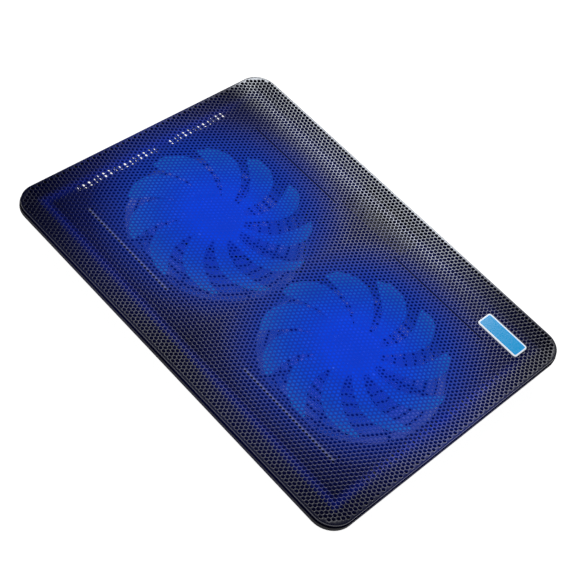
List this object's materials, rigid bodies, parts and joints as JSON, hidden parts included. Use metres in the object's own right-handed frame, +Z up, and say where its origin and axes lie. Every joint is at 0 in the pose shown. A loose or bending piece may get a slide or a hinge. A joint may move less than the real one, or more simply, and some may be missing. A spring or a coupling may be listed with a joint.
{
  "type": "laptop cooling pad",
  "caption": "Thin rectangular laptop cooling pad: dished black mesh top over blue-lit fans in a plastic tray, with rear sockets, a slide switch and fold-out rear legs.",
  "frame": {"origin": "on the table, under the centre of the pad's outline", "axes": "+X to the user's right along the long side, +Y to the rear where the sockets are, +Z up"},
  "size_m": [0.38, 0.28, 0.028],
  "materials": {
    "tray_plastic": "fine satin texture",
    "mesh_steel": "satin black powder coat",
    "badge_white": "gloss",
    "badge_blue": "gloss",
    "rotor_blue": "translucent blue, lit from the hub",
    "magnet_ferrite": "matte",
    "steel": "satin",
    "plated_steel": "plated",
    "bearing_bronze": "sintered",
    "winding_copper": "enamelled",
    "board_black": "black solder mask",
    "led_blue": "lit",
    "foot_rubber": "matte",
    "socket_black": "satin",
    "contact_gold": "plated",
    "lead_jacket": "satin"
  },
  "bodies": {
    "pad": {"base_tray": "tray_plastic", "mesh_panel": "mesh_steel", "badge_bezel": "badge_white", "badge_plate": "badge_blue", "motor_screws": "plated_steel", "leg_pins": "steel", "hub_board": "board_black", "board_screws": "plated_steel", "usb_shell_left": "plated_steel", "usb_shell_right": "plated_steel", "usb_tongue_left": "socket_black", "usb_tongue_right": "socket_black", "usb_contacts": "contact_gold", "switch_body": "tray_plastic", "fan_lead_left": "lead_jacket", "fan_lead_right": "lead_jacket", "foot_front_left": "foot_rubber", "foot_front_right": "foot_rubber", "foot_rear_left": "foot_rubber", "foot_rear_right": "foot_rubber", "fan_left_motor_base": "tray_plastic", "fan_left_bearing": "bearing_bronze", "fan_left_stator": "steel", "fan_left_coils": "winding_copper", "fan_left_board": "board_black", "fan_left_leds": "led_blue", "fan_right_motor_base": "tray_plastic", "fan_right_bearing": "bearing_bronze", "fan_right_stator": "steel", "fan_right_coils": "winding_copper", "fan_right_board": "board_black", "fan_right_leds": "led_blue"},
    "fan_left_spinner": {"fan_left_rotor": "rotor_blue", "fan_left_yoke": "steel", "fan_left_magnet": "magnet_ferrite", "fan_left_shaft": "steel"},
    "fan_right_spinner": {"fan_right_rotor": "rotor_blue", "fan_right_yoke": "steel", "fan_right_magnet": "magnet_ferrite", "fan_right_shaft": "steel"},
    "folding_leg_left": {"leg_left": "tray_plastic", "leg_tip_left": "foot_rubber"},
    "folding_leg_right": {"leg_right": "tray_plastic", "leg_tip_right": "foot_rubber"},
    "switch_slider": {"switch_knob": "tray_plastic"}
  },
  "joints": [
    {"name": "fan_left_spin", "type": "hinge", "parent": "pad", "child": "fan_left_spinner", "pos_m": [-0.0823, -0.003, 0.0166], "axis": [0, 0, 1], "continuous": true},
    {"name": "fan_right_spin", "type": "hinge", "parent": "pad", "child": "fan_right_spinner", "pos_m": [0.0823, -0.003, 0.0166], "axis": [0, 0, 1], "continuous": true},
    {"name": "leg_left_fold", "type": "hinge", "parent": "pad", "child": "folding_leg_left", "pos_m": [-0.092, 0.1275, 0.0132], "axis": [1, 0, 0], "range_deg": [0, 97]},
    {"name": "leg_right_fold", "type": "hinge", "parent": "pad", "child": "folding_leg_right", "pos_m": [0.092, 0.1275, 0.0132], "axis": [1, 0, 0], "range_deg": [0, 97]},
    {"name": "switch_slide", "type": "slide", "parent": "pad", "child": "switch_slider", "axis": [1, 0, 0], "range_m": [0, 0.0025]}
  ]
}
